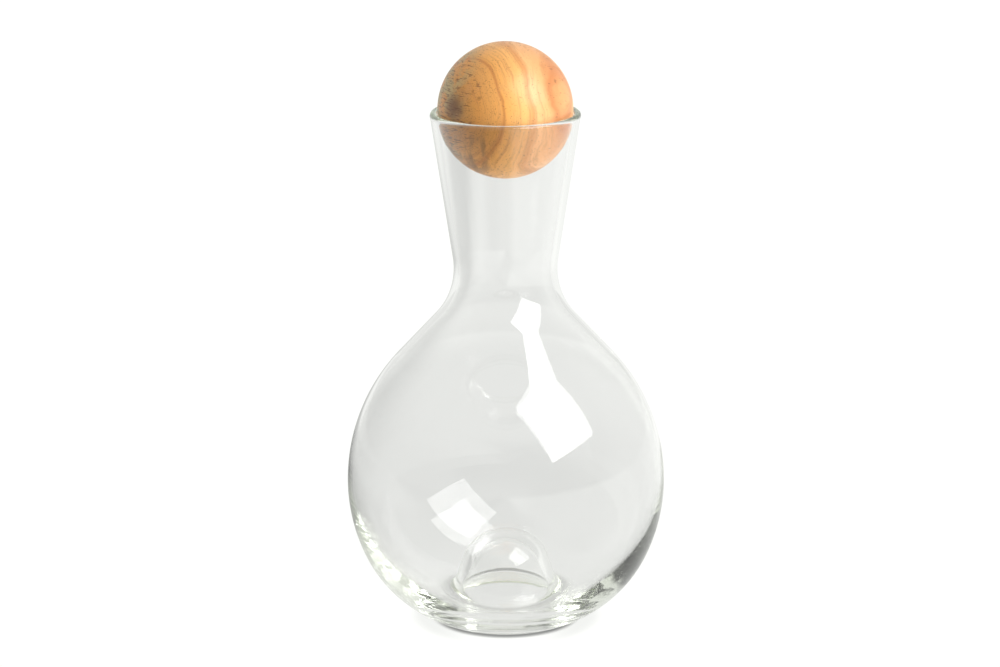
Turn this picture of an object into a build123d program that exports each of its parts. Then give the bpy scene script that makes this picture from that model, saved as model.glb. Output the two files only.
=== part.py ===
from build123d import *
import os
from math import cos, radians, sin, tan

# Wine decanter: a blown clear-glass body with a flared neck and a domed punt in its base,
# closed by a loose turned wooden ball that rests in the mouth.
# Millimetres, +Z up. The origin is the centre of the foot ring, on the surface it stands on.
# The glass is one revolved outline, given as radius and height, so (r, z) stands for (x, y).

# Outside of the glass, from the foot up: every stretch runs on tangent to the one before.
foot_radius = 29.9            # where the curved underside would meet the table
foot_rise_angle = 18.1        # slope of the underside at that circle, in degrees
base_radius = 62.8            # turn from the underside into the side of the body
base_turn = 47.2
lower_body_radius = 82.45     # from there up to the widest level
lower_body_turn = 24.7
upper_body_radius = 89.1      # from the widest level up to the shoulder
upper_body_turn = 42.6
shoulder_length = 26.9        # straight slope of the shoulder
waist_radius = 33.9           # hollow curve between shoulder and neck
neck_half_angle = 8.7         # flare of the neck, away from the axis
rim_height = 245.4            # top of the rounded rim

# Inside of the glass, from the middle of the floor outwards and up.
dome_top = 41.6               # the pushed-up floor, seen inside the body
dome_radius = 21.6
dome_flare = 17.0             # its side leans outwards towards the floor, in degrees
dome_side_length = 13.4
trough_radius = 7.5           # ring-shaped channel round the dome
trough_turn = 97.8
floor_radius = 65.5           # thick floor rising into the wall
floor_turn = 51.2
lower_wall_radius = 69.0
lower_wall_turn = 14.0
upper_wall_radius = 82.6
upper_wall_turn = 42.6
inner_shoulder_length = 29.45
inner_waist_radius = 36.3
inner_neck_half_angle = 8.05  # less than outside, so the wall thickens towards the rim

# Punt: the hollow under the dome, open to the table.
punt_top = 35.8
punt_radius = 16.3
punt_flare = 20.0             # its side leans outwards towards the table

# Small roundings.
punt_edge_rounding = 1.5
foot_edge_rounding = 8.0
rim_rounding = 1.7

# Turned ball that closes the mouth.
ball_radius = 31.5
seat_gap = 0.15               # between the ball and the neck wall, square to the wall


def heading(degrees):
    """Unit direction at an angle from the outward radius."""
    return (cos(radians(degrees)), sin(radians(degrees)))


def arc_on(previous, radius, turn):
    """Arc that leaves the end of the previous stretch without a corner; plus turns left."""
    return JernArc(previous @ 1, previous % 1, radius, turn)


def line_on(previous, length):
    """Straight stretch that leaves the end of the previous one without a corner."""
    return Line(previous @ 1, previous @ 1 + previous % 1 * length)


def neck_to_rim(previous, half_angle):
    """Straight neck wall from the end of the waist up to the height of the rim."""
    start = previous @ 1
    rise = rim_height - start.Y
    return Line(start, (start.X + rise * tan(radians(half_angle)), rim_height))


def outside_lines():
    base = JernArc((foot_radius, 0), heading(foot_rise_angle), base_radius, base_turn)
    lower_body = arc_on(base, lower_body_radius, lower_body_turn)
    upper_body = arc_on(lower_body, upper_body_radius, upper_body_turn)
    shoulder = line_on(upper_body, shoulder_length)
    waist = arc_on(shoulder, waist_radius, -(upper_body_turn + neck_half_angle))
    neck = neck_to_rim(waist, neck_half_angle)
    return [base, lower_body, upper_body, shoulder, waist, neck]


def inside_lines():
    dome = JernArc((0, dome_top), heading(0), dome_radius, dome_flare - 90)
    dome_side = line_on(dome, dome_side_length)
    trough = arc_on(dome_side, trough_radius, trough_turn)
    floor = arc_on(trough, floor_radius, floor_turn)
    lower_wall = arc_on(floor, lower_wall_radius, lower_wall_turn)
    upper_wall = arc_on(lower_wall, upper_wall_radius, upper_wall_turn)
    shoulder = line_on(upper_wall, inner_shoulder_length)
    waist = arc_on(shoulder, inner_waist_radius, -(upper_wall_turn + inner_neck_half_angle))
    neck = neck_to_rim(waist, inner_neck_half_angle)
    return [dome, dome_side, trough, floor, lower_wall, upper_wall, shoulder, waist, neck]


def punt_lines():
    crown = JernArc((0, punt_top), heading(0), punt_radius, punt_flare - 90)
    start = crown @ 1
    side = Line(start, (start.X + start.Y * tan(radians(punt_flare)), 0))
    return [crown, side]


def corner(face, point):
    """The vertex of the face that lies at the point."""
    return face.vertices().sort_by_distance(point)[0]


def glass_outline():
    outside = outside_lines()
    inside = inside_lines()
    punt = punt_lines()
    rim_outer = outside[-1] @ 1
    rim_inner = inside[-1] @ 1
    punt_mouth = punt[-1] @ 1
    foot = Line(punt_mouth, (foot_radius, 0))
    rim = Line(rim_outer, rim_inner)
    axis_side = Line((0, dome_top), (0, punt_top))
    face = make_face(Curve() + [*punt, foot, *outside, rim, *inside, axis_side])
    face = fillet(corner(face, (foot_radius, 0)), foot_edge_rounding)
    face = fillet(corner(face, punt_mouth), punt_edge_rounding)
    rim_corners = [corner(face, rim_outer), corner(face, rim_inner)]
    return fillet(rim_corners, rim_rounding)


def ball_centre_height():
    """Height at which the ball clears the inner neck cone by the seat gap."""
    wall_radius = (ball_radius + seat_gap) / cos(radians(inner_neck_half_angle))
    rim_inner = inside_lines()[-1] @ 1
    return rim_height - (rim_inner.X - wall_radius) / tan(radians(inner_neck_half_angle))


def glass_decanter():
    return revolve(Plane.XZ * glass_outline(), Axis.Z)


def ball_stopper():
    return Pos(0, 0, ball_centre_height()) * Sphere(ball_radius)


parts = {
    "glass_decanter": glass_decanter(),
    "ball_stopper": ball_stopper(),
}
os.makedirs("parts", exist_ok=True)
for name, part in parts.items():
    part.label = name
    export_step(part, f"parts/{name}.step")
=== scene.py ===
from math import atan2, cos, degrees, hypot, pi, radians, sin, sqrt, tan

import bmesh
import bpy
from mathutils import Matrix, Vector


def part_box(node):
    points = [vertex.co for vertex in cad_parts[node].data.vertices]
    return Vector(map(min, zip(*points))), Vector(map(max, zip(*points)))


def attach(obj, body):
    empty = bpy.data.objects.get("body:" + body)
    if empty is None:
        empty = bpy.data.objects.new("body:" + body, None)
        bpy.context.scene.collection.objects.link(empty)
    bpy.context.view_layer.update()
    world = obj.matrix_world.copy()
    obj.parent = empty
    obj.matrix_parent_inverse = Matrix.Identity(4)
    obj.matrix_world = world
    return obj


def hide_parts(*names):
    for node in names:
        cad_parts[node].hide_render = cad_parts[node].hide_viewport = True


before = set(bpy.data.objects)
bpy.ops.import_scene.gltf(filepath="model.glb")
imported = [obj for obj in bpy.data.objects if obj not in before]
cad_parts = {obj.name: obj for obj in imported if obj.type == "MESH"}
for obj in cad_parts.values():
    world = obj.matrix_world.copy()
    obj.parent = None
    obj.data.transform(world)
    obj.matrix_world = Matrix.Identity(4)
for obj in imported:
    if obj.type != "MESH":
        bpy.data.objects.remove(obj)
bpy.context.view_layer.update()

# A blown clear-glass decanter and the loose wooden ball that closes it.
# Metres, +Z up, origin at the centre of the foot ring. MM turns millimetres into metres.
MM = 0.001

# Outside of the glass, from the foot up.
FOOT_RADIUS = 29.9 * MM
FOOT_RISE_ANGLE = 18.1
BASE_RADIUS = 62.8 * MM
BASE_TURN = 47.2
LOWER_BODY_RADIUS = 82.45 * MM
LOWER_BODY_TURN = 24.7
UPPER_BODY_RADIUS = 89.1 * MM
UPPER_BODY_TURN = 42.6
SHOULDER_LENGTH = 26.9 * MM
WAIST_RADIUS = 33.9 * MM
NECK_HALF_ANGLE = 8.7

# Inside of the glass, from the middle of the floor outwards and up.
DOME_TOP = 41.6 * MM
DOME_RADIUS = 21.6 * MM
DOME_FLARE = 17.0
DOME_SIDE_LENGTH = 13.4 * MM
TROUGH_RADIUS = 7.5 * MM
TROUGH_TURN = 97.8
FLOOR_RADIUS = 65.5 * MM
FLOOR_TURN = 51.2
LOWER_WALL_RADIUS = 69.0 * MM
LOWER_WALL_TURN = 14.0
UPPER_WALL_RADIUS = 82.6 * MM
UPPER_WALL_TURN = 42.6
INNER_SHOULDER_LENGTH = 29.45 * MM
INNER_WAIST_RADIUS = 36.3 * MM
INNER_NECK_HALF_ANGLE = 8.05

# Punt: the hollow under the dome.
PUNT_TOP = 35.8 * MM
PUNT_RADIUS = 16.3 * MM
PUNT_FLARE = 20.0

# Small roundings. The rim is a half circle between the two walls of the neck.
PUNT_EDGE_ROUNDING = 1.5 * MM
FOOT_EDGE_ROUNDING = 8.0 * MM
NECK_WALL_AT_RIM = 3.5 * MM

RIM_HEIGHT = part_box("glass_decanter")[1][2]
BALL_LOW, BALL_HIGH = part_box("ball_stopper")
BALL_CENTRE_Z = (BALL_LOW[2] + BALL_HIGH[2]) / 2
BALL_RADIUS = (BALL_HIGH[2] - BALL_LOW[2]) / 2

# Fineness of the meshes.
OUTLINE_STEP = 1.5 * MM
OUTLINE_ANGLE_STEP = radians(5)
RIM_STEPS = 16
SLICES = 180
BALL_GRID = 48

# Waves that blowing by hand leaves in the glass: the depth of the broad ones, how strong the
# base's rings and the neck's streaks are beside them, and the heights between which they fade.
WAVE_DEPTH = 0.25 * MM
BROAD_FADE = (140 * MM, 180 * MM)
BASE_RINGS = 2.4
BASE_RINGS_FADE = (4 * MM, 14 * MM)
NECK_STREAKS = 0.12
NECK_STREAKS_FADE = (150 * MM, 180 * MM)

# Colours of the wood outwards from the pith, by distance in ball radii. The dips are dark rings.
RINGS = [
    (0.00, (0.18, 0.10, 0.04)),
    (0.10, (0.32, 0.17, 0.06)),
    (0.20, (0.54, 0.26, 0.07)),
    (0.40, (0.68, 0.30, 0.07)),
    (0.60, (0.73, 0.34, 0.09)),
    (0.73, (0.76, 0.35, 0.09)),
    (0.76, (0.56, 0.21, 0.05)),
    (0.79, (0.80, 0.37, 0.09)),
    (1.02, (0.88, 0.45, 0.14)),
    (1.08, (0.68, 0.29, 0.09)),
    (1.12, (0.87, 0.46, 0.19)),
    (1.21, (0.79, 0.38, 0.15)),
    (1.25, (0.56, 0.21, 0.07)),
    (1.29, (0.70, 0.31, 0.12)),
    (1.60, (0.60, 0.24, 0.08)),
]
YEARLY_LINE_BROWN = (0.46, 0.19, 0.06)
OLIVE = (0.50, 0.36, 0.16)
HEART_BROWN = (0.17, 0.07, 0.025)
BAND_BROWN = (0.30, 0.15, 0.06)
STREAK_BROWN = (0.62, 0.30, 0.12)
FLECK_BROWN = (0.26, 0.10, 0.03)
PORE_BROWN = (0.14, 0.045, 0.012)

# Flecks of the wood: right of and above the middle of the ball's front, and size, in ball radii.
FLECKS = [(-0.40, 0.30, 0.026), (-0.47, 0.21, 0.018), (-0.38, 0.10, 0.024), (0.73, 0.37, 0.028)]

# Studio. One is the white of paper; the camera sees a full white all round.
FULL_WHITE = 1.05
STUDIO_WHITE = (0.99, 1.0, 0.975, 1)
ROOM_LEVEL = 0.80
FLOOR_IN_FRONT = 0.25         # the floor's level well in front of the object
FLOOR_LIMIT = 0.93            # the most that the glass gets from the floor
# How much of the room and of the floor the wood gets, beside what the glass gets.
ROOM_ON_WOOD = 0.62
FLOOR_ON_WOOD = 3.1
# Light counts as led round inside the thick glass after this many bounces, from none to all of it.
LED_ROUND = (5, 8)


class Outline:
    """Points of a half section, drawn as lines and arcs that run on without a corner."""

    def __init__(self, radius, height, heading):
        self.points = [(radius, height)]
        self.heading = radians(heading)

    def line(self, length):
        r, z = self.points[-1]
        steps = max(1, round(length / OUTLINE_STEP))
        for i in range(1, steps + 1):
            along = length * i / steps
            self.points.append((r + along * cos(self.heading), z + along * sin(self.heading)))

    def arc(self, radius, turn):
        """An arc to the left for a positive turn, in degrees, or to the right for a negative one."""
        side = 1 if turn > 0 else -1
        angle = radians(abs(turn))
        r, z = self.points[-1]
        centre_r = r - side * radius * sin(self.heading)
        centre_z = z + side * radius * cos(self.heading)
        step = min(OUTLINE_ANGLE_STEP, OUTLINE_STEP / radius)
        steps = max(2, round(angle / step))
        for i in range(1, steps + 1):
            heading = self.heading + side * angle * i / steps
            self.points.append((centre_r + side * radius * sin(heading),
                                centre_z - side * radius * cos(heading)))
        self.heading += side * angle


def outside_points():
    """From the flat of the foot up to the end of the waist."""
    # The foot's edge rounding is tangent to the table and to the base arc from inside.
    base_r = FOOT_RADIUS - BASE_RADIUS * sin(radians(FOOT_RISE_ANGLE))
    base_z = BASE_RADIUS * cos(radians(FOOT_RISE_ANGLE))
    gap = BASE_RADIUS - FOOT_EDGE_ROUNDING
    drop = base_z - FOOT_EDGE_ROUNDING
    run = sqrt(gap ** 2 - drop ** 2)
    edge_turn = degrees(atan2(run, drop))
    outline = Outline(base_r + run, 0, 0)
    outline.arc(FOOT_EDGE_ROUNDING, edge_turn)
    outline.arc(BASE_RADIUS, BASE_TURN + FOOT_RISE_ANGLE - edge_turn)
    outline.arc(LOWER_BODY_RADIUS, LOWER_BODY_TURN)
    outline.arc(UPPER_BODY_RADIUS, UPPER_BODY_TURN)
    outline.line(SHOULDER_LENGTH)
    outline.arc(WAIST_RADIUS, -(UPPER_BODY_TURN + NECK_HALF_ANGLE))
    return outline.points


def inside_points():
    """From the top of the dome out and up to the end of the waist."""
    outline = Outline(0, DOME_TOP, 0)
    outline.arc(DOME_RADIUS, DOME_FLARE - 90)
    outline.line(DOME_SIDE_LENGTH)
    outline.arc(TROUGH_RADIUS, TROUGH_TURN)
    outline.arc(FLOOR_RADIUS, FLOOR_TURN)
    outline.arc(LOWER_WALL_RADIUS, LOWER_WALL_TURN)
    outline.arc(UPPER_WALL_RADIUS, UPPER_WALL_TURN)
    outline.line(INNER_SHOULDER_LENGTH)
    outline.arc(INNER_WAIST_RADIUS, -(UPPER_WALL_TURN + INNER_NECK_HALF_ANGLE))
    return outline.points


def punt_points():
    """From the top of the punt's hollow down over its rounded edge to the flat of the foot."""
    outline = Outline(0, PUNT_TOP, 0)
    outline.arc(PUNT_RADIUS, PUNT_FLARE - 90)
    height = outline.points[-1][1]
    # The rounding takes up this much of the side's slope before the side meets the table.
    edge_height = PUNT_EDGE_ROUNDING * (1 - sin(radians(PUNT_FLARE)))
    outline.line((height - edge_height) / cos(radians(PUNT_FLARE)))
    outline.arc(PUNT_EDGE_ROUNDING, 90 - PUNT_FLARE)
    return outline.points


def neck_points(start, half_angle, top):
    """Straight neck wall from the end of the waist up to the given height."""
    r, z = start
    steps = max(1, round((top - z) / OUTLINE_STEP))
    slope = tan(radians(half_angle))
    return [(r + (top - z) * i / steps * slope, z + (top - z) * i / steps) for i in range(1, steps + 1)]


def rim_points(outer, inner):
    """Half circle over the rim, between the tops of the outer and inner neck walls."""
    centre_r = (outer[0] + inner[0]) / 2
    centre_z = (outer[1] + inner[1]) / 2
    radius = hypot(outer[0] - inner[0], outer[1] - inner[1]) / 2
    turns = [pi * i / RIM_STEPS for i in range(1, RIM_STEPS)]
    return [(centre_r + radius * cos(turn), centre_z + radius * sin(turn)) for turn in turns]


def glass_outline():
    """The closed half section, from the punt's top round the outside to the dome's top."""
    outside = outside_points()
    inside = inside_points()
    neck_top = RIM_HEIGHT - NECK_WALL_AT_RIM / 2
    outside += neck_points(outside[-1], NECK_HALF_ANGLE, neck_top)
    inside += neck_points(inside[-1], INNER_NECK_HALF_ANGLE, neck_top)
    rim = rim_points(outside[-1], inside[-1])
    return punt_points() + outside + rim + inside[::-1]


def show(name, mesh):
    """Puts a mesh into the scene, shaded smooth."""
    mesh.polygons.foreach_set("use_smooth", [True] * len(mesh.polygons))
    mesh.update()
    piece = bpy.data.objects.new(name, mesh)
    bpy.context.scene.collection.objects.link(piece)
    return piece


def new_piece(name, vertices, faces):
    mesh = bpy.data.meshes.new(name)
    mesh.from_pydata(vertices, [], faces)
    return show(name, mesh)


def build_glass():
    """The blown glass as one closed lathed skin."""
    outline = glass_outline()
    rings = outline[1:-1]
    vertices = [(0, 0, outline[0][1])]
    for r, z in rings:
        for k in range(SLICES):
            turn = 2 * pi * k / SLICES
            vertices.append((r * cos(turn), r * sin(turn), z))
    vertices.append((0, 0, outline[-1][1]))
    last = len(vertices) - 1
    last_ring = 1 + (len(rings) - 1) * SLICES
    faces = []
    for k in range(SLICES):
        after = (k + 1) % SLICES
        faces.append((0, 1 + after, 1 + k))
        for i in range(len(rings) - 1):
            low = 1 + i * SLICES
            high = low + SLICES
            faces.append((low + k, low + after, high + after, high + k))
        faces.append((last, last_ring + k, last_ring + after))
    return new_piece("glass_body", vertices, faces)


def build_ball():
    """The turned ball: a cube's grid blown up to a sphere, so that no pole shows in the grain."""
    mesh = bpy.data.meshes.new("wooden_ball")
    grid = bmesh.new()
    bmesh.ops.create_cube(grid, size=2)
    bmesh.ops.subdivide_edges(grid, edges=grid.edges[:], cuts=BALL_GRID - 1, use_grid_fill=True)
    for vertex in grid.verts:
        # Spreads the grid evenly, so that its cells stay alike from face centre to corner.
        even = Vector([tan(c * pi / 4) for c in vertex.co])
        vertex.co = even.normalized() * BALL_RADIUS + Vector((0, 0, BALL_CENTRE_Z))
    grid.to_mesh(mesh)
    grid.free()
    return show("wooden_ball", mesh)


def node(tree, kind, **inputs):
    """A new node with its inputs set; an underscore in a name stands for a space."""
    made = tree.nodes.new(kind)
    for name, value in inputs.items():
        made.inputs[name.replace("_", " ")].default_value = value
    return made


def new_material(name):
    material = bpy.data.materials.new(name)
    material.use_nodes = True
    material.node_tree.nodes.clear()
    return material, material.node_tree


def feed(tree, socket, value):
    """Links the value to the socket, or sets the socket if the value is a constant."""
    if isinstance(value, bpy.types.NodeSocket):
        tree.links.new(value, socket)
    else:
        socket.default_value = value


def maths(tree, operation, *values, clamp=False):
    """A maths node; each value is a socket or a number."""
    made = tree.nodes.new("ShaderNodeMath")
    made.operation = operation
    made.use_clamp = clamp
    for socket, value in zip(made.inputs, values):
        feed(tree, socket, value)
    return made.outputs["Value"]


def vector_maths(tree, operation, *values):
    """A vector maths node; each value is a socket or a constant vector."""
    made = tree.nodes.new("ShaderNodeVectorMath")
    made.operation = operation
    for socket, value in zip(made.inputs, values):
        feed(tree, socket, value)
    return made.outputs["Value" if operation in ("DOT_PRODUCT", "DISTANCE") else "Vector"]


def separated(tree, vector):
    """The three numbers of a vector."""
    parts = tree.nodes.new("ShaderNodeSeparateXYZ")
    tree.links.new(vector, parts.inputs["Vector"])
    return list(parts.outputs)


def combined(tree, *numbers):
    """A vector of up to three numbers."""
    made = tree.nodes.new("ShaderNodeCombineXYZ")
    for socket, number in zip(made.inputs, numbers):
        feed(tree, socket, number)
    return made.outputs["Vector"]


def span(tree, value, low, high, start=0.0, end=1.0, smooth=True):
    """Carries a value from low..high over to start..end, clamped at both ends."""
    made = tree.nodes.new("ShaderNodeMapRange")
    made.interpolation_type = "SMOOTHSTEP" if smooth else "LINEAR"
    made.inputs["From Min"].default_value = low
    made.inputs["From Max"].default_value = high
    made.inputs["To Min"].default_value = start
    made.inputs["To Max"].default_value = end
    tree.links.new(value, made.inputs["Value"])
    return made.outputs["Result"]


def distance(tree, x, y):
    """Distance from nought of a point with these two coordinates."""
    squares = maths(tree, "ADD", maths(tree, "MULTIPLY", x, x), maths(tree, "MULTIPLY", y, y))
    return maths(tree, "SQRT", squares)


def stretched(tree, vector, scale):
    """The same place with each axis scaled, so that a texture on it runs long or fine."""
    return vector_maths(tree, "MULTIPLY", vector, scale)


def noise(tree, vector, detail=2.0, roughness=0.5, output="Fac"):
    made = node(tree, "ShaderNodeTexNoise", Scale=1.0, Detail=detail, Roughness=roughness)
    tree.links.new(vector, made.inputs["Vector"])
    return made.outputs[output]


def specks(tree, pattern, rarity, sharpness):
    """Nought where the pattern stays under the rarity, and quickly up to one above it."""
    return maths(tree, "MULTIPLY", maths(tree, "SUBTRACT", pattern, rarity), sharpness, clamp=True)


def ramp(tree, value, stops):
    """A colour ramp through (position, colour) stops."""
    made = tree.nodes.new("ShaderNodeValToRGB")
    tree.links.new(value, made.inputs["Fac"])
    elements = made.color_ramp.elements
    while len(elements) < len(stops):
        elements.new(0.5)
    for element, (position, colour) in zip(elements, stops):
        element.position = position
        element.color = (*colour, 1)
    return made.outputs["Color"]


def tint_towards(tree, amount, base, colour):
    """Mixes a colour into a base by an amount."""
    made = tree.nodes.new("ShaderNodeMix")
    made.data_type = "RGBA"
    tree.links.new(amount, made.inputs["Factor"])
    # A mix node has an A, a B and a result for each kind of data; these are the colours'.
    first, second, result = made.inputs[6], made.inputs[7], made.outputs[2]
    tree.links.new(base, first)
    second.default_value = (*colour, 1)
    return result


def glass_waves(tree, place):
    """Height of the waves in the glass, where one is WAVE_DEPTH."""
    x, y, z = separated(tree, place)
    # Wide flat waves over the body, finer upwards than round it.
    broad = noise(tree, stretched(tree, place, (7, 7, 40)), detail=1)
    broad = maths(tree, "MULTIPLY", broad, span(tree, z, *BROAD_FADE, 0.5, 0.0))
    # Rings in the thick base, wandering a little round the axis.
    wander = noise(tree, stretched(tree, place, (22, 22, 22)), detail=1)
    outwards = maths(tree, "MULTIPLY", distance(tree, x, y), 190)
    upwards = maths(tree, "MULTIPLY", z, 130)
    rings = combined(tree, maths(tree, "MULTIPLY_ADD", wander, 0.8, outwards), upwards)
    rings = maths(tree, "MULTIPLY", noise(tree, rings, detail=1), span(tree, z, *BASE_RINGS_FADE, 1.0, 0.0))
    # Upright streaks in the neck, drawn out as it was pulled.
    drawn = noise(tree, stretched(tree, place, (150, 150, 5)), detail=1)
    drawn = maths(tree, "MULTIPLY", drawn, span(tree, z, *NECK_STREAKS_FADE))
    height = maths(tree, "MULTIPLY_ADD", rings, BASE_RINGS, broad)
    return maths(tree, "MULTIPLY_ADD", drawn, NECK_STREAKS, height)


def glass_material():
    """Clear soda glass, faintly olive through its thickness, with the waves of hand blowing."""
    material, tree = new_material("clear_glass")
    link = tree.links.new
    output = tree.nodes.new("ShaderNodeOutputMaterial")
    place = tree.nodes.new("ShaderNodeTexCoord").outputs["Object"]
    waves = node(tree, "ShaderNodeBump", Strength=1.0, Distance=WAVE_DEPTH)
    link(glass_waves(tree, place), waves.inputs["Height"])
    wiped = noise(tree, stretched(tree, place, (30, 30, 30)), detail=3)
    shader = node(tree, "ShaderNodeBsdfPrincipled", Base_Color=(1, 1, 1, 1), IOR=1.51,
                  Transmission_Weight=1.0)
    link(span(tree, wiped, 0.5, 0.8, 0.0, 0.012), shader.inputs["Roughness"])
    link(waves.outputs["Normal"], shader.inputs["Normal"])
    tint = node(tree, "ShaderNodeVolumeAbsorption", Color=(0.86, 0.92, 0.76, 1), Density=4.0)
    link(shader.outputs["BSDF"], output.inputs["Surface"])
    link(tint.outputs["Volume"], output.inputs["Volume"])
    return material


# The wood's figure is laid out on a ball of radius one. FRONT and UPRIGHT are the ways towards
# and up the side that shows the pith; the fibres run along FIBRE, and ACROSS is square to both.
FRONT = Vector((0, -0.966, 0.26))
UPRIGHT = Vector((0, 0.26, 0.966))
FIBRE = (Vector((-0.5, 0, 0)) + 0.86 * FRONT).normalized()
ACROSS = FIBRE.cross(UPRIGHT)


def on_front(right, up):
    """The point of the unit ball's front that lies so far right of and above its middle."""
    return Vector((right, 0, 0)) + up * UPRIGHT + sqrt(1 - right ** 2 - up ** 2) * FRONT


PITH = on_front(-0.72, -0.05)


def spot(tree, place, centre, reach, edge):
    """One within reach of a point of the ball and nought outside it, softened by edge."""
    away = vector_maths(tree, "DISTANCE", place, centre)
    return span(tree, away, reach - edge, reach + edge, 1.0, 0.0)


def place_on_ball(tree):
    """A point of the wood, with the ball's centre as nought and its radius as one."""
    place = tree.nodes.new("ShaderNodeTexCoord").outputs["Object"]
    centred = vector_maths(tree, "SUBTRACT", place, (0, 0, BALL_CENTRE_Z))
    return stretched(tree, centred, (1 / BALL_RADIUS,) * 3)


def grain_place(tree, place):
    """The place from the pith: how far along the fibres, upright and across them."""
    from_pith = vector_maths(tree, "SUBTRACT", place, PITH)
    ways = [vector_maths(tree, "DOT_PRODUCT", from_pith, way) for way in (FIBRE, UPRIGHT, ACROSS)]
    return combined(tree, *ways)


def ring_distance(tree, grain):
    """Distance from the pith's line, bent a little, so that no ring is a perfect circle."""
    _, upright, across = separated(tree, grain)
    bend = noise(tree, stretched(tree, grain, (0.8, 1.8, 1.8)), detail=3)
    return maths(tree, "MULTIPLY_ADD", maths(tree, "SUBTRACT", bend, 0.5), 0.16,
                 distance(tree, upright, across))


def ring_colour(tree, reach):
    """The colour of the growth rings at a distance from the pith."""
    last_ring = RINGS[-1][0]
    return ramp(tree, maths(tree, "DIVIDE", reach, last_ring),
                [(ring / last_ring, colour) for ring, colour in RINGS])


def yearly_lines(tree, grain, reach):
    """Fine lines that follow the rings."""
    along, upright, _ = separated(tree, grain)
    return noise(tree, combined(tree, maths(tree, "MULTIPLY", reach, 45), maths(tree, "MULTIPLY", along, 2),
                                maths(tree, "MULTIPLY", upright, 1.5)), detail=3, roughness=0.6)


def with_heart(tree, colour, grain, place):
    """Adds the dark heart, and olive patches on its side, drawn out along the fibres."""
    right, _, up = separated(tree, place)
    # The olive reaches further over towards the ball's top and bottom.
    side = maths(tree, "MULTIPLY_ADD", maths(tree, "ABSOLUTE", up), -0.4, right)
    patches = noise(tree, stretched(tree, grain, (1.6, 4.5, 4.5)), detail=3, roughness=0.55)
    olive = maths(tree, "MULTIPLY", span(tree, side, -1.0, -0.62, 1.0, 0.0), span(tree, patches, 0.42, 0.58))
    colour = tint_towards(tree, olive, colour, OLIVE)
    heart = maths(tree, "MULTIPLY", spot(tree, place, on_front(-0.76, 0.0), reach=0.15, edge=0.11),
                  span(tree, patches, 0.35, 0.55, 0.45, 0.8))
    return tint_towards(tree, heart, colour, HEART_BROWN)


def with_streaks(tree, colour, grain, place):
    """Adds brown bands low on the heart's side, and faint slanting streaks all over."""
    right, _, up = separated(tree, place)
    bands = noise(tree, stretched(tree, place, (9, 3, 1.6)), detail=3, roughness=0.55)
    low_side = maths(tree, "MULTIPLY", span(tree, up, -0.35, -0.1, 1.0, 0.0),
                     span(tree, right, -0.3, -0.1, 1.0, 0.0))
    brown = maths(tree, "MULTIPLY", low_side, span(tree, bands, 0.44, 0.62, 0.1, 0.7))
    colour = tint_towards(tree, brown, colour, BAND_BROWN)
    slant = noise(tree, stretched(tree, grain, (3, 2, 6)))
    return tint_towards(tree, span(tree, slant, 0.55, 0.75, 0.0, 0.3), colour, STREAK_BROWN)


def with_flecks(tree, colour, place):
    """Adds a few small dark flecks with ragged edges."""
    ragged = noise(tree, stretched(tree, place, (14, 14, 14)), output="Color")
    ragged = vector_maths(tree, "SUBTRACT", ragged, (0.5, 0.5, 0.5))
    shaken = vector_maths(tree, "MULTIPLY_ADD", ragged, (0.07, 0.07, 0.07), place)
    for right, up, size in FLECKS:
        fleck = spot(tree, shaken, on_front(right, up), reach=size, edge=0.02)
        colour = tint_towards(tree, maths(tree, "MULTIPLY", fleck, 0.7), colour, FLECK_BROWN)
    return colour


def wood_pores(tree, grain, place):
    """Fine dots all over, and level dashes where the heart's side curves away."""
    right, _, _ = separated(tree, place)
    dots = specks(tree, noise(tree, stretched(tree, grain, (11, 62, 62))),
                  span(tree, right, -0.6, 0.9, 0.61, 0.66), sharpness=16)
    dashes = specks(tree, noise(tree, stretched(tree, place, (5, 8, 46)), detail=3, roughness=0.6),
                    span(tree, right, -0.85, 0.1, 0.53, 0.74), sharpness=12)
    return maths(tree, "MAXIMUM", maths(tree, "MULTIPLY", dots, 0.75), maths(tree, "MULTIPLY", dashes, 0.8))


def wood_material():
    """Turned hardwood cut across the pith: growth rings, an olive heart, brown streaks and pores."""
    material, tree = new_material("ball_wood")
    link = tree.links.new
    output = tree.nodes.new("ShaderNodeOutputMaterial")
    place = place_on_ball(tree)
    grain = grain_place(tree, place)
    reach = ring_distance(tree, grain)
    lines = yearly_lines(tree, grain, reach)
    pores = wood_pores(tree, grain, place)
    colour = ring_colour(tree, reach)
    colour = tint_towards(tree, span(tree, lines, 0.46, 0.72, 0.0, 0.5), colour, YEARLY_LINE_BROWN)
    colour = with_heart(tree, colour, grain, place)
    colour = with_streaks(tree, colour, grain, place)
    colour = with_flecks(tree, colour, place)
    colour = tint_towards(tree, pores, colour, PORE_BROWN)
    # Pores and yearly lines are sunk a little into the surface.
    bump = node(tree, "ShaderNodeBump", Strength=0.3, Distance=0.2 * MM)
    bump.invert = True
    link(maths(tree, "MULTIPLY_ADD", lines, 0.3, pores), bump.inputs["Height"])
    shader = node(tree, "ShaderNodeBsdfPrincipled", IOR=1.5, Specular_IOR_Level=0.55)
    link(colour, shader.inputs["Base Color"])
    link(span(tree, lines, 0.3, 0.7, 0.3, 0.42), shader.inputs["Roughness"])
    link(bump.outputs["Normal"], shader.inputs["Normal"])
    link(shader.outputs["BSDF"], output.inputs["Surface"])
    return material


def point_at(thing, target, roll=0.0):
    """Turns a lamp or camera to look at a point, then rolls it about its line of sight."""
    sight = Vector(target) - thing.location
    turn = sight.to_track_quat("-Z", "Y").to_matrix() @ Matrix.Rotation(radians(roll), 3, "Z")
    thing.rotation_euler = turn.to_euler()


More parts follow.
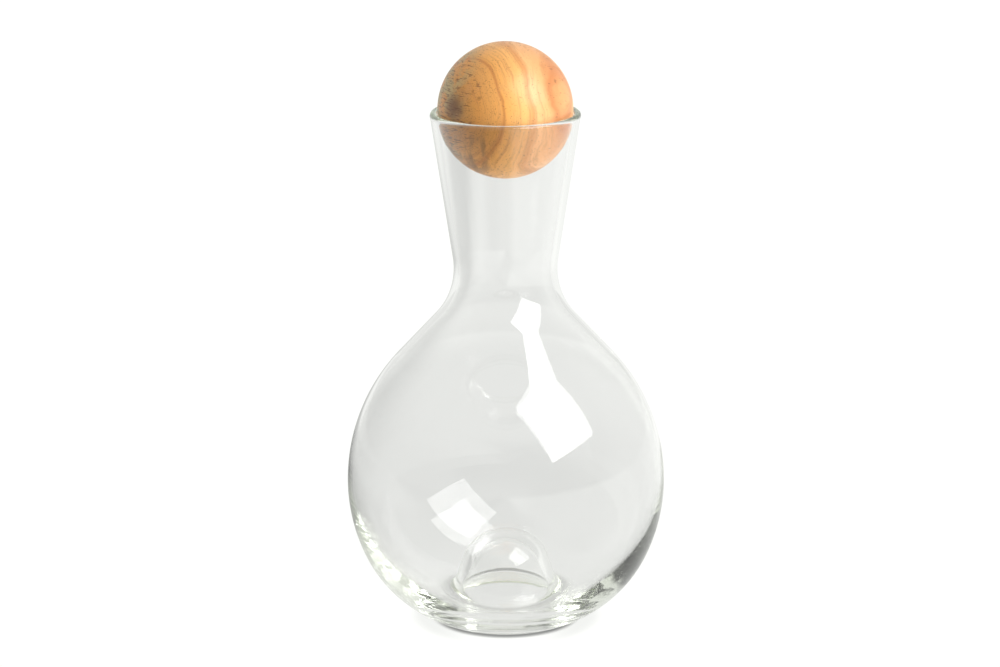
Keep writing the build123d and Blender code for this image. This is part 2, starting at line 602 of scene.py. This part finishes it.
def add_camera():
    away = 1.8
    elevation = radians(15.07)
    data = bpy.data.cameras.new("camera")
    data.sensor_width = 36
    data.lens = 137.7
    data.clip_end = 50
    camera = bpy.data.objects.new("camera", data)
    bpy.context.scene.collection.objects.link(camera)
    middle = Vector((0, 0, 0.130))
    camera.location = middle + away * Vector((0, -cos(elevation), sin(elevation)))
    aim = (-0.00266, 0, 0.13907)
    point_at(camera, aim, roll=-0.1)
    bpy.context.scene.camera = camera


def add_key_softbox():
    """The one lamp: a large evenly lit rectangle, high up in front on the right."""
    width = 0.71
    height = 0.815
    radiance = 4.7
    data = bpy.data.lights.new("key_softbox", "AREA")
    data.shape = "RECTANGLE"
    data.size = width
    data.size_y = height
    data.energy = radiance * pi * width * height
    lamp = bpy.data.objects.new("key_softbox", data)
    bpy.context.scene.collection.objects.link(lamp)
    lamp.location = (0.5372, -0.4781, 0.7875)
    aim = (-0.1378, -0.0501, 0.1855)
    point_at(lamp, aim, roll=9)


def for_wood(tree, rays, level):
    """The given level for light that left the wood, and one for all other light."""
    return span(tree, rays.outputs["Diffuse Depth"], 0, 1, 1.0, level, smooth=False)


def glow_by_ray(tree, kind, rays, for_camera, for_others):
    """A shader that glows at one level for the camera and at another for all other light."""
    level = tree.nodes.new("ShaderNodeMix")
    tree.links.new(rays.outputs["Is Camera Ray"], level.inputs["Factor"])
    tree.links.new(for_others, level.inputs["A"])
    feed(tree, level.inputs["B"], for_camera)
    glow = node(tree, kind, Color=STUDIO_WHITE)
    tree.links.new(level.outputs["Result"], glow.inputs["Strength"])
    return glow.outputs[0]


def floor_to_camera(tree, x):
    """White, with a thin contact shadow under the foot and a soft one to its left and right."""
    contact = node(tree, "ShaderNodeAmbientOcclusion", Distance=3 * MM)
    contact.samples = 16
    overhang = node(tree, "ShaderNodeAmbientOcclusion", Distance=8 * MM)
    overhang.samples = 16
    sideways = span(tree, maths(tree, "ABSOLUTE", x), 12 * MM, 35 * MM)
    soft = maths(tree, "MULTIPLY", sideways, span(tree, overhang.outputs["AO"], 0.3, 0.9, 0.14, 0.0))
    return maths(tree, "SUBTRACT", span(tree, contact.outputs["AO"], 0.0, 0.55, 0.25, FULL_WHITE), soft)


def floor_to_others(tree, x, y, rays):
    """What the glass and the wood get from the floor: more behind and on the lamp's side."""
    level = span(tree, y, -0.35, -0.08, FLOOR_IN_FRONT, ROOM_LEVEL)
    level = maths(tree, "MAXIMUM", level, span(tree, x, 0.02, 0.15, FLOOR_IN_FRONT, ROOM_LEVEL + 0.2))
    level = maths(tree, "ADD", level, span(tree, y, 0.5, 0.8, 0.0, 0.12))
    level = maths(tree, "MINIMUM", level, FLOOR_LIMIT)
    # A little brighter on the right as far as half a metre back.
    right = maths(tree, "MULTIPLY", span(tree, x, 0.0, 0.1), span(tree, y, 0.5, 0.6, 1.0, 0.0))
    level = maths(tree, "MULTIPLY_ADD", right, 0.06, level)
    # Shaded in a strip on the left.
    left = maths(tree, "MULTIPLY", span(tree, x, -0.4, -0.2), span(tree, x, -0.12, -0.05, 1.0, 0.0))
    level = maths(tree, "MULTIPLY_ADD", left, -0.25, level)
    # Painted shade on the floor where the foot ring stands on it, strongest for light led round inside the
    # glass.
    away = distance(tree, x, y)
    under = maths(tree, "MULTIPLY", span(tree, away, 23 * MM, 26 * MM),
                  span(tree, away, 28 * MM, 34 * MM, 1.0, 0.0))
    shade = span(tree, rays.outputs["Ray Depth"], *LED_ROUND, -0.3, -0.85, smooth=False)
    level = maths(tree, "MULTIPLY", level, maths(tree, "MULTIPLY_ADD", under, shade, 1.0))
    return maths(tree, "MULTIPLY", level, for_wood(tree, rays, FLOOR_ON_WOOD))


def add_floor():
    """Pale floor that gives its own light."""
    half = 4
    corners = [(-half, -half, 0), (half, -half, 0), (half, half, 0), (-half, half, 0)]
    floor = new_piece("studio_floor", corners, [(0, 1, 2, 3)])
    material, tree = new_material("studio_floor")
    output = tree.nodes.new("ShaderNodeOutputMaterial")
    rays = tree.nodes.new("ShaderNodeLightPath")
    x, y, _ = separated(tree, tree.nodes.new("ShaderNodeTexCoord").outputs["Object"])
    glow = glow_by_ray(tree, "ShaderNodeEmission", rays, floor_to_camera(tree, x),
                       floor_to_others(tree, x, y, rays))
    tree.links.new(glow, output.inputs["Surface"])
    floor.data.materials.append(material)


def room_to_others(tree, around, up, rays):
    """What the glass and the wood get from the room, by direction in degrees."""
    aside = maths(tree, "ABSOLUTE", around)
    led_round = span(tree, rays.outputs["Ray Depth"], *LED_ROUND, smooth=False)
    straight = maths(tree, "SUBTRACT", 1.0, led_round)
    # Light led round inside the glass finds a dark card on the left and a dark corner in front.
    card = maths(tree, "MULTIPLY", span(tree, around, -172, -150), span(tree, around, -76, -52, 1.0, 0.0))
    card = maths(tree, "MULTIPLY", card, span(tree, up, 35, 62, 1.0, 0.0))
    corner = maths(tree, "MULTIPLY", span(tree, aside, 130, 150), span(tree, up, 5, 30, 1.0, 0.0))
    card = maths(tree, "MULTIPLY", maths(tree, "MAXIMUM", card, corner), led_round)
    # Other light finds the room dim low down at the sides and in front.
    low = maths(tree, "MULTIPLY", span(tree, aside, 75, 110), span(tree, up, 8, 40, 1.0, 0.0))
    low = maths(tree, "MULTIPLY", low, straight)
    room = maths(tree, "MULTIPLY_ADD", card, -0.76, ROOM_LEVEL)
    room = maths(tree, "MULTIPLY_ADD", low, -0.42, room)
    return maths(tree, "MULTIPLY", room, for_wood(tree, rays, ROOM_ON_WOOD))


def set_world():
    """A pale room, white to the camera."""
    world = bpy.data.worlds.new("studio")
    bpy.context.scene.world = world
    world.use_nodes = True
    tree = world.node_tree
    tree.nodes.clear()
    output = tree.nodes.new("ShaderNodeOutputWorld")
    rays = tree.nodes.new("ShaderNodeLightPath")
    x, y, z = separated(tree, tree.nodes.new("ShaderNodeTexCoord").outputs["Generated"])
    # Directions in degrees: round from straight back towards the right, and up from level.
    around = maths(tree, "DEGREES", maths(tree, "ARCTAN2", x, y))
    up = maths(tree, "DEGREES", maths(tree, "ARCSINE", z))
    glow = glow_by_ray(tree, "ShaderNodeBackground", rays, FULL_WHITE,
                       room_to_others(tree, around, up, rays))
    tree.links.new(glow, output.inputs["Surface"])


def set_rendering():
    scene = bpy.context.scene
    scene.view_settings.view_transform = "Standard"
    # Light runs a long way round inside the thick glass before it comes out.
    scene.cycles.max_bounces = 100
    scene.cycles.glossy_bounces = 100
    scene.cycles.transmission_bounces = 100


add_camera()
set_world()
set_rendering()
add_floor()
add_key_softbox()

glass = build_glass()
glass.data.materials.append(glass_material())
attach(glass, "decanter")
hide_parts("glass_decanter")

ball = build_ball()
ball.data.materials.append(wood_material())
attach(ball, "stopper")
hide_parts("ball_stopper")
